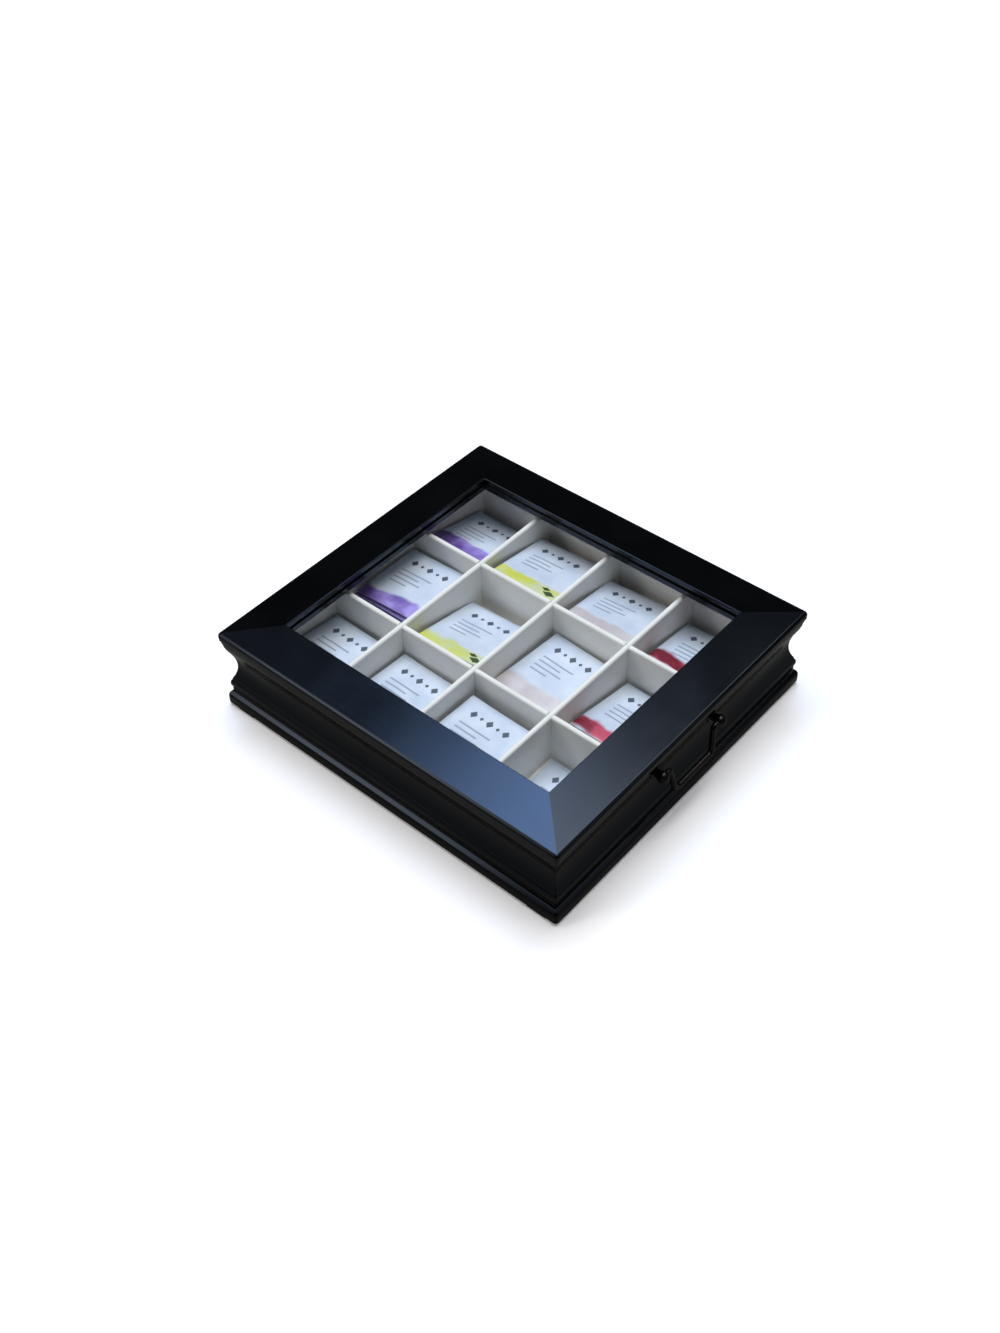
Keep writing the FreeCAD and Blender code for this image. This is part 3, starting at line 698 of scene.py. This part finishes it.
def dividers():
    """Two long boards and three cross ones, halved into each other."""
    lap = (FLOOR_Z + DIVIDER_TOP_Z) / 2
    half = BOARD / 2 + NOTCH_GAP
    side = abs(in_mm("tray_left")[1].x)
    long_places, cross_places = {}, {}
    for name in ("left", "right"):
        low, high = in_mm(f"divider_long_{name}")
        long_places[name] = (low.x + high.x) / 2
    for number in (1, 2, 3):
        low, high = in_mm(f"divider_cross_{number}")
        cross_places[number] = (low.y + high.y) / 2
    for name, x in long_places.items():
        points = [(INNER_FRONT_Y, FLOOR_Z), (INNER_BACK_Y, FLOOR_Z), (INNER_BACK_Y, DIVIDER_TOP_Z)]
        for y in reversed(list(cross_places.values())):
            points += [(y + half, DIVIDER_TOP_Z), (y + half, lap), (y - half, lap), (y - half, DIVIDER_TOP_Z)]
        points.append((INNER_FRONT_Y, DIVIDER_TOP_Z))
        board(f"long_divider_{name}", f"divider_long_{name}", points, "y", x, DIVIDER_TOP_Z)
    for number, y in cross_places.items():
        points = [(-side, FLOOR_Z)]
        for x in sorted(long_places.values()):
            points += [(x - half, FLOOR_Z), (x - half, lap), (x + half, lap), (x + half, FLOOR_Z)]
        points += [(side, FLOOR_Z), (side, DIVIDER_TOP_Z), (-side, DIVIDER_TOP_Z)]
        board(f"cross_divider_{number}", f"divider_cross_{number}", points, "x", y, DIVIDER_TOP_Z)


# Handle

POST_SPACING = 70.0
PIVOT_DROP = 14.0  # below the top frame
PIVOT_STAND = 1.5  # out from the top frame's edge
BALL_RADIUS = 4.8
BALL_STEPS = 24
NECK_RADIUS = 3.2
COLLAR_RADIUS = 5.5
BAIL_RADIUS = 2.3
BAIL_SPAN = 53.6  # between the arms at the top
BAIL_GRIP = 45.0  # between them at the bottom
BAIL_DROP = 22.3
BAIL_LEAN = 8.0  # degrees that the bail stands out at rest
BAIL_ELBOW = 2.6  # from the elbow's sharp corner to where its curve starts
BAIL_ELBOW_STEPS = 6
BAIL_CORNER = 6.0
BAIL_CORNER_STEPS = 10
BAIL_END_SET = 1.0  # in from the middle of the ball
PIVOT_Z = FRAME_Z - PIVOT_DROP
PIVOT_OUT = DEPTH / 2 + PIVOT_STAND
SEAT_OUT = DEPTH / 2 - COVE_WAIST_SET

POST_FOOT = (
    # radius, and distance out from the seat: the collar, its eased rim, and the cove up to the neck
    (0, 0),
    (COLLAR_RADIUS, 0),
    (COLLAR_RADIUS, 2.4),
    (COLLAR_RADIUS - 0.3, 3.0),
    (COLLAR_RADIUS - 1.0, 3.4),
    (NECK_RADIUS + 0.5, 3.5),
    (NECK_RADIUS + 0.1, 3.8),
    (NECK_RADIUS, 4.3),
)


def posts():
    """Two turned posts, which take the place of the node that holds both."""
    outward = Matrix.Rotation(math.radians(90), 4, "X")
    start = math.asin(NECK_RADIUS / BALL_RADIUS)
    profile = [(radius, SEAT_OUT + out) for radius, out in POST_FOOT]
    for step in range(BALL_STEPS + 1):
        angle = start + (math.pi - start) * step / BALL_STEPS
        profile.append((BALL_RADIUS * math.sin(angle), PIVOT_OUT - BALL_RADIUS * math.cos(angle)))
    for name, x in (("left", -POST_SPACING / 2), ("right", POST_SPACING / 2)):
        post = lathe(f"post_{name}", profile, (x, 0, PIVOT_Z), outward, BRONZE)
        finish_piece(post, "drawer", "dark_bronze")
    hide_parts("handle_posts")


def bail_points():
    """Half of the bar's middle line, across and up from the pivots: from one ball to the grip."""
    top, low = Vector((-BAIL_SPAN / 2, 0)), Vector((-BAIL_GRIP / 2, -BAIL_DROP))
    down = (low - top).normalized()
    elbow_in = Vector((-BAIL_SPAN / 2 - BAIL_ELBOW, 0))
    elbow_out = top + down * BAIL_ELBOW
    elbow_via = (elbow_in + elbow_out + 2 * top) / 4
    half_turn = (-down).angle(Vector((1, 0))) / 2
    run = BAIL_CORNER / math.tan(half_turn)
    start, end = low - down * run, low + Vector((run, 0))
    inward = (Vector((1, 0)) - down).normalized()
    corner_via = low + inward * (BAIL_CORNER / math.sin(half_turn) - BAIL_CORNER)
    points = [(-POST_SPACING / 2 + BAIL_END_SET, 0), tuple(elbow_in)]
    points += arc_points(elbow_in, tuple(elbow_via), tuple(elbow_out), BAIL_ELBOW_STEPS)
    points.append(tuple(start))
    return points + arc_points(start, tuple(corner_via), tuple(end), BAIL_CORNER_STEPS)


def bail_bar():
    """Round bar in from one ball, down, across the grip and up to the other, leaning out a little."""
    curve = bpy.data.curves.new("bail_bar", "CURVE")
    curve.dimensions = "3D"
    curve.bevel_depth = BAIL_RADIUS * MM
    curve.bevel_resolution = 6
    curve.use_fill_caps = True
    points = bail_points()
    points += [(-x, z) for x, z in reversed(points)]
    lean = math.radians(BAIL_LEAN)
    spline = curve.splines.new("POLY")
    spline.points.add(len(points) - 1)
    for spot, (x, z) in zip(spline.points, points):
        out = PIVOT_OUT - z * math.sin(lean)
        spot.co = (x * MM, -out * MM, (PIVOT_Z + z * math.cos(lean)) * MM, 1.0)
    curve.materials.append(BRONZE)
    made = bpy.data.objects.new("bail_bar", curve)
    bpy.context.scene.collection.objects.link(made)
    finish_piece(made, "bail", "dark_bronze", "handle_bail")


# Sachets

SACHET_LONG = 70.0
SACHET_WIDE = 62.5
SACHET_THICKNESS = 4.2
STACKS = (
    # column, row from the front, depth below the divider tops, tilt and turn in degrees, kind of paper
    ("left", "back", 26.0, 6.0, -2.0, "white"),
    ("left", "mid_back", 24.0, 3.0, -2.0, "white"),
    ("left", "mid_front", 16.5, 1.0, -1.5, "white"),
    ("left", "front", 39.4, 0.0, -2.0, "white"),
    ("middle", "back", 18.5, 4.0, 2.0, "purple"),
    ("middle", "mid_back", 30.0, 16.0, 2.5, "green"),
    ("middle", "mid_front", 24.6, 1.5, -2.5, "beige"),
    ("middle", "front", 33.0, 11.0, -2.0, "red"),
    ("right", "back", 32.0, 14.0, 1.0, "violet"),
    ("right", "mid_back", 21.0, 12.5, 4.0, "green"),
    ("right", "mid_front", 25.4, 14.0, 4.0, "beige"),
    ("right", "front", 31.4, 12.0, 2.0, "crimson"),
)

# Places on a label are shares of its width (u) and of its height (v)
FROM_EDGE = -0.1  # where a band that starts at the very edge is drawn from
BANDS = {
    # slot, light and dark print of the foot of the label, and where that starts and ends
    "white": ("paper_white", rgb(216, 222, 234), rgb(196, 204, 222), FROM_EDGE, 0.10),
    "beige": ("paper_white", rgb(212, 206, 208), rgb(196, 186, 188), FROM_EDGE, 0.22),
    "purple": ("paper_purple", rgb(166, 146, 222), rgb(104, 72, 158), FROM_EDGE, 0.19),
    "violet": ("paper_purple", rgb(166, 146, 222), rgb(104, 72, 158), FROM_EDGE, 0.33),
    "green": ("paper_green", rgb(204, 210, 166), rgb(208, 212, 86), FROM_EDGE, 0.18),
    "red": ("paper_red", rgb(206, 78, 104), rgb(132, 16, 44), 0.03, 0.2),
    "crimson": ("paper_red", rgb(206, 72, 98), rgb(120, 12, 38), 0.12, 0.33),
}
BAND_SOFT = 0.025
LEAVES = (
    # middle u and v, half width and half height
    (0.86, 0.07, 0.1, 0.05),
    (0.78, 0.13, 0.07, 0.035),
)
LOZENGE_SIZES = (0.054, 0.028, 0.054, 0.028, 0.054)  # half widths, from left to right
LOZENGE_U, LOZENGE_STEP = 0.24, 0.125
LOZENGE_V = 0.78
LOZENGE_TALL = 1.1
LOZENGE_SOLID = 0.85  # share of its size up to which a lozenge is solid
RULES = ((0.18, 0.66), (0.18, 0.52), (0.18, 0.60), (0.18, 0.44))  # start and end, from the top down
RULE_V, RULE_STEP = 0.60, 0.075
RULE_THICKNESS = 0.022
PRINT_SOFT = 0.006
CRIMP_V = 0.945
CRIMP_RATE = 400.0
WHITE_PAPER = (rgb(197, 208, 225), rgb(217, 224, 236))
LEAF_GREEN = rgb(52, 74, 30)
INK = rgb(72, 82, 96)
RULE_GREY = rgb(150, 158, 174)


def paper(kind):
    """White paper with a printed label: a tinted foot, a row of lozenges and thin rules, all from UVs."""
    n = Nodes(f"paper_{kind}")
    coords = n.node("ShaderNodeUVMap")
    u, v, _ = n.node("ShaderNodeSeparateXYZ", Vector=coords.outputs[0]).outputs
    place = n.object_place()
    _, light, dark, start, end = BANDS[kind]

    def within(value, low, high, soft=PRINT_SOFT):
        rise = n.rise(value, low - soft, low + soft)
        return n.math("MULTIPLY", rise, n.fall(value, high - soft, high + soft))

    def lozenge(centre_u, centre_v, half_u, half_v):
        across = n.math("DIVIDE", n.math("ABSOLUTE", n.math("SUBTRACT", u, centre_u)), half_u)
        up = n.math("DIVIDE", n.math("ABSOLUTE", n.math("SUBTRACT", v, centre_v)), half_v)
        return n.fall(n.math("ADD", across, up), LOZENGE_SOLID, 1.0)

    colour = n.mix(n.rise(n.noise(place, scale=60, detail=3), 0.3, 0.7), *WHITE_PAPER)
    ragged = n.math("ADD", v, n.span(n.noise(place, scale=42, detail=2), 0.3, 0.7, -0.05, 0.05))
    wash = n.span(n.noise(place, scale=55, detail=3), 0.38, 0.62, -0.45, 0.45)
    tone = n.math("ADD", n.span(u, 0.05, 0.95, 0.95, 0.0), wash)
    colour = n.mix(within(ragged, start, end, BAND_SOFT), colour, n.mix(tone, light, dark))
    if kind == "green":
        leaf = n.math("ADD", *(lozenge(*place_and_size) for place_and_size in LEAVES))
        colour = n.mix(n.math("MINIMUM", leaf, 1.0), colour, LEAF_GREEN)
    for step, size in enumerate(LOZENGE_SIZES):
        mark = lozenge(LOZENGE_U + LOZENGE_STEP * step, LOZENGE_V, size, size * LOZENGE_TALL)
        colour = n.mix(mark, colour, INK)
    for step, (rule_start, rule_end) in enumerate(RULES):
        level = RULE_V - RULE_STEP * step
        line = n.math("MULTIPLY", within(v, level, level + RULE_THICKNESS), within(u, rule_start, rule_end))
        colour = n.mix(line, colour, RULE_GREY)
    ridges = n.math("SINE", n.math("MULTIPLY", u, CRIMP_RATE))
    crimp = n.math("MULTIPLY", within(v, CRIMP_V, 1.0), ridges)
    height = n.math("ADD", n.math("MULTIPLY", crimp, 0.3), n.noise(place, scale=90, detail=4))
    return n.set(Base_Color=colour, Roughness=0.45, Normal=n.bump(height, 0.45, 0.001))


PAPERS = {kind: paper(kind) for kind in BANDS}

LONG_STEPS, WIDE_STEPS = 26, 24
SEEDS_PER_STACK = 20
LOOSE_ALONG, LOOSE_ACROSS = 0.7, 0.8  # how far a sachet may lie off its place
LOOSE_TURN = 1.2  # degrees
EDGE_THICKNESS = 0.12  # share of the full thickness left at the edge
PILLOW_POWER = 5  # the higher, the nearer to its edge the pillow thins out
WRINKLE = 0.5
WRINKLE_SCALE = 0.05
SKIN_ROOM = 0.98  # share of its height that a sachet fills, so that neighbours don't touch
BOW = 0.008  # how far an edge draws in at its middle, as a share of its distance from the sachet's middle
BOW_POWER = 6
RIM_UV = (0.5, 0.98)  # in the crimped strip of the label


def bowed(along, across):
    """What is left of a distance along one axis where the edges draw in; both run from -1 to 1."""
    return 1 - BOW * (1 - across * across) * abs(along) ** BOW_POWER


def envelope(bm, uv, place, levels, angles, seed):
    """One sachet between two heights at its right edge, rising to the left at two angles.

    Its two pillowed skins meet in a thin crimped edge.
    """
    rng = random.Random(seed)
    slide = Vector((rng.uniform(-LOOSE_ALONG, LOOSE_ALONG), rng.uniform(-LOOSE_ACROSS, LOOSE_ACROSS), 0))
    turn = Matrix.Rotation(math.radians(rng.uniform(-LOOSE_TURN, LOOSE_TURN)), 4, "Z")

    def skin_point(s, t, top):
        """A point of the lower or upper skin; s runs along the sachet and t across it, from -1 to 1."""
        x, y = s * SACHET_LONG / 2, t * SACHET_WIDE / 2
        reach = SACHET_LONG / 2 - x
        base, roof = (level + reach * math.sin(angle) for level, angle in zip(levels, angles))
        edge = (1 - abs(s) ** PILLOW_POWER) * (1 - abs(t) ** PILLOW_POWER)
        pillow = EDGE_THICKNESS + (1 - EDGE_THICKNESS) * edge**0.5
        wave = noise.noise(Vector((x * WRINKLE_SCALE + seed, y * WRINKLE_SCALE, top))) * WRINKLE * edge
        z = (base + roof) / 2 + ((roof - base) / 2 * pillow + wave) * (1 if top else -1) * SKIN_ROOM
        spot = turn @ Vector((x * bowed(s, t), y * bowed(t, s), 0)) + slide
        return place @ (Vector((spot.x, spot.y, z)) * MM)

    skins = []
    for top in (False, True):
        rows = []
        for j in range(WIDE_STEPS + 1):
            t = j / WIDE_STEPS * 2 - 1
            points = [skin_point(i / LONG_STEPS * 2 - 1, t, top) for i in range(LONG_STEPS + 1)]
            rows.append([bm.verts.new(point) for point in points])
        skins.append(rows)
    for top, rows in enumerate(skins):
        for j in range(WIDE_STEPS):
            for i in range(LONG_STEPS):
                spots = [(i, j), (i + 1, j), (i + 1, j + 1), (i, j + 1)]
                if not top:
                    spots.reverse()
                face = bm.faces.new([rows[b][a] for a, b in spots])
                for loop, (a, b) in zip(face.loops, spots):
                    loop[uv].uv = (1 - b / WIDE_STEPS, a / LONG_STEPS)
    rim = [(0, i) for i in range(LONG_STEPS)] + [(j, LONG_STEPS) for j in range(WIDE_STEPS)]
    rim += [(WIDE_STEPS, i) for i in range(LONG_STEPS, 0, -1)] + [(j, 0) for j in range(WIDE_STEPS, 0, -1)]
    low, high = skins
    for (j0, i0), (j1, i1) in zip(rim, rim[1:] + rim[:1]):
        face = bm.faces.new([low[j0][i0], low[j1][i1], high[j1][i1], high[j0][i0]])
        for loop in face.loops:
            loop[uv].uv = RIM_UV


def sachets():
    for number, (column, row, drop, tilt, turn, kind) in enumerate(STACKS):
        node = f"sachets_{column}_{row}"
        low, high = in_mm(node)
        middle = (low + high) / 2
        place = Matrix.Translation(Vector((middle.x, middle.y, 0)) * MM)
        place = place @ Matrix.Rotation(math.radians(turn), 4, "Z")
        bm = bmesh.new()
        uv = bm.loops.layers.uv.new("UVMap")
        right_edge = DIVIDER_TOP_Z - drop - FLOOR_Z
        left_edge = right_edge + SACHET_LONG * math.sin(math.radians(tilt))
        count = max(1, round(left_edge / SACHET_THICKNESS))
        thin = right_edge / count
        for index in range(count):
            base = FLOOR_Z + thin * index
            angles = [math.radians(tilt) * (index + step) / count for step in (0, 1)]
            envelope(bm, uv, place, (base, base + thin), angles, number * SEEDS_PER_STACK + index)
        made = new_object(f"stack_{column}_{row}", mesh_from(node, bm), PAPERS[kind], smooth_angle=50)
        finish_piece(made, "drawer", BANDS[kind][0], node)


def carried_over():
    """CAD pieces whose shape is kept, with better materials."""
    for node, material in (
        ("base_panel", PLYWOOD),
        ("drawer_stop", LACQUER),
        ("base_tongues", BEECH),
        ("frame_tongues", BEECH),
        ("frame_splines", BEECH),
        ("wall_splines", BEECH),
        ("glass_brads", STEEL),
        ("handle_nuts", STEEL),
    ):
        for slot in frame["nodes"][node].material_slots:
            slot.material = material


# Stage

CAMERA_TURN, CAMERA_RISE, CAMERA_ROLL = -48.65, 45.49, -1.25  # degrees
CAMERA_UNIT = 0.3035  # metres: the top frame's width, in which the next two lines are
CAMERA_DISTANCE = 3.7305
CAMERA_SHIFT_X, CAMERA_SHIFT_Y = -0.0336, -0.1094
FOCAL_PIXELS = 1500.1
LONG_SIDE_PIXELS = 1333.0
SENSOR_WIDTH = 36.0
CLIP_END = 50

FLOOR_REACH = 6.0  # metres from its middle
FLOOR_SQUARES = 8
FLOOR_WHITE = (0.97, 0.965, 0.955, 1.0)
FLOOR_GLOW = (0.13, 0.13, 0.13, 1.0)
FLOOR_BOUNCE = (0.2, 0.19, 0.165, 1.0)

LIGHT = 5.7
# The panel's windows lie in a level plane one unit up, and a direction is in one if it meets the plane there
LOWEST = 0.05  # directions lower than this are taken as this high, so that the plane isn't endless
WINDOWS = (
    # left and right edge, near and far edge, softness, strength
    (-0.16, 0.72, -0.16, 0.62, 0.18, 1.0),  # the main one, a little behind
    (-0.3, 0.45, -0.45, 0.35, 0.2, 0.75),  # straight above, which softens the shadow
    (0.45, 0.9, -0.12, 0.15, 0.1, 1.8),  # at the right; past 1, the strength only steepens the soft edge
)
PANEL_NEAR = (1.02, 1.02, 1.06, 1.0)
PANEL_FAR = (1.0, 1.42, 2.2, 1.0)
FAR_ALONG, FAR_ACROSS = (0.22, 0.46), (0.0, 0.2)  # where the far colour sets in, towards the back right
ROOM_LOW = (0.004, 0.0044, 0.005, 1.0)
ROOM_HIGH = (0.035, 0.04, 0.045, 1.0)
ROOM_RISE = (0.6, 0.85)  # heights between which the room's dim light grows
# The strips are bands of directions, by the x, y and z of the direction itself
STRIP_LEFT = 0.6
STRIP_FRONT = 0.07
STRIP = (0.37, 0.64, 0.09)  # start, end and softness across a strip
STRIP_FADE = (-0.17, -0.02)  # where a strip fades out towards the middle
STRIP_RISE = (0.05, 0.3)  # heights between which a strip grows from nothing
STRIP_TINT = (1.08, 1.0, 0.96)


def camera():
    """The view, solved from the corners of the top frame and of the window."""
    turn, rise, roll = (math.radians(angle) for angle in (CAMERA_TURN, CAMERA_RISE, CAMERA_ROLL))
    back = Vector((math.sin(turn) * math.cos(rise), -math.cos(turn) * math.cos(rise), math.sin(rise)))
    right = Vector((0, 0, 1)).cross(back).normalized()
    up = back.cross(right)
    right_rolled = right * math.cos(roll) + up * math.sin(roll)
    up_rolled = up * math.cos(roll) - right * math.sin(roll)
    place = back * CAMERA_DISTANCE + right_rolled * CAMERA_SHIFT_X + up_rolled * CAMERA_SHIFT_Y
    place *= CAMERA_UNIT
    place.z += (FRAME_Z + FRAME_EDGE) * MM
    data = bpy.data.cameras.new("camera")
    data.sensor_fit = "AUTO"
    data.sensor_width = SENSOR_WIDTH
    data.lens = FOCAL_PIXELS / LONG_SIDE_PIXELS * data.sensor_width
    data.clip_end = CLIP_END
    made = bpy.data.objects.new("camera", data)
    axes = Matrix((right_rolled, up_rolled, back)).transposed().to_4x4()
    made.matrix_world = Matrix.Translation(place) @ axes
    bpy.context.scene.collection.objects.link(made)
    bpy.context.scene.camera = made


def floor():
    """A white sheet with a soft shadow; what it throws back on the piece is kept low."""
    n = Nodes("floor")
    lit = n.node("ShaderNodeBsdfDiffuse", Color=FLOOR_WHITE)
    glow = n.node("ShaderNodeEmission", Color=FLOOR_GLOW)
    seen = n.node("ShaderNodeAddShader")
    n.plug(seen.inputs[0], lit.outputs[0])
    n.plug(seen.inputs[1], glow.outputs[0])
    bounce = n.node("ShaderNodeBsdfDiffuse", Color=FLOOR_BOUNCE)
    sheet = n.show_mix(n.in_view(), bounce, seen)
    bm = bmesh.new()
    bmesh.ops.create_grid(bm, x_segments=FLOOR_SQUARES, y_segments=FLOOR_SQUARES, size=FLOOR_REACH)
    made = new_object("floor", mesh_from("floor", bm), sheet)


def world():
    """White to the camera; to the piece, a dim room lit by a soft panel overhead and a little behind.

    The panel is bluer at its far part. A weaker window straight above softens the shadow. One at the right, a
    strip at the left and a faint strip at the front draw bright lines along the edges of the rails.
    """
    n = Nodes("studio", bpy.data.worlds)
    bpy.context.scene.world = n.material
    coords = n.node("ShaderNodeTexCoord")
    x, y, z = n.node("ShaderNodeSeparateXYZ", Vector=coords.outputs["Generated"]).outputs
    height = n.math("MAXIMUM", z, LOWEST)
    across = n.math("DIVIDE", x, height)
    along = n.math("DIVIDE", y, height)

    def patch(value, start, end, soft):
        rise = n.rise(value, start, start + soft, smooth=True)
        return n.math("MULTIPLY", rise, n.fall(value, end - soft, end, smooth=True))

    def window(left, right, near, far, soft, level):
        lit = n.math("MULTIPLY", patch(across, left, right, soft), patch(along, near, far, soft))
        return n.math("MULTIPLY", lit, level)

    panel = window(*WINDOWS[0])
    for edges in WINDOWS[1:]:
        panel = n.math("MAXIMUM", panel, window(*edges))
    far_right = n.math("MULTIPLY", n.rise(along, *FAR_ALONG, True), n.rise(across, *FAR_ACROSS, True))
    panel_colour = n.mix(far_right, PANEL_NEAR, PANEL_FAR)
    room = n.mix(n.rise(z, *ROOM_RISE, True), ROOM_LOW, ROOM_HIGH)
    for value, other, level in ((y, x, STRIP_LEFT), (x, y, STRIP_FRONT)):
        strip = n.math("MULTIPLY", patch(value, *STRIP), n.fall(other, *STRIP_FADE, True))
        strip = n.math("MULTIPLY", strip, n.rise(z, *STRIP_RISE, True))
        room = n.mix(strip, room, (*(level * share for share in STRIP_TINT), 1.0))
    light = n.node("ShaderNodeBackground", Color=n.mix(panel, room, panel_colour), Strength=LIGHT)
    white = n.node("ShaderNodeBackground", Color=(1, 1, 1, 1))
    n.show_mix(n.in_view(), light, white)


def main():
    top_rails()
    walls()
    base_rails()
    feet()
    glazing()
    drawer_moulding()
    tray()
    dividers()
    posts()
    bail_bar()
    sachets()
    carried_over()
    camera()
    floor()
    world()
    bpy.context.scene.view_settings.view_transform = "Standard"


main()
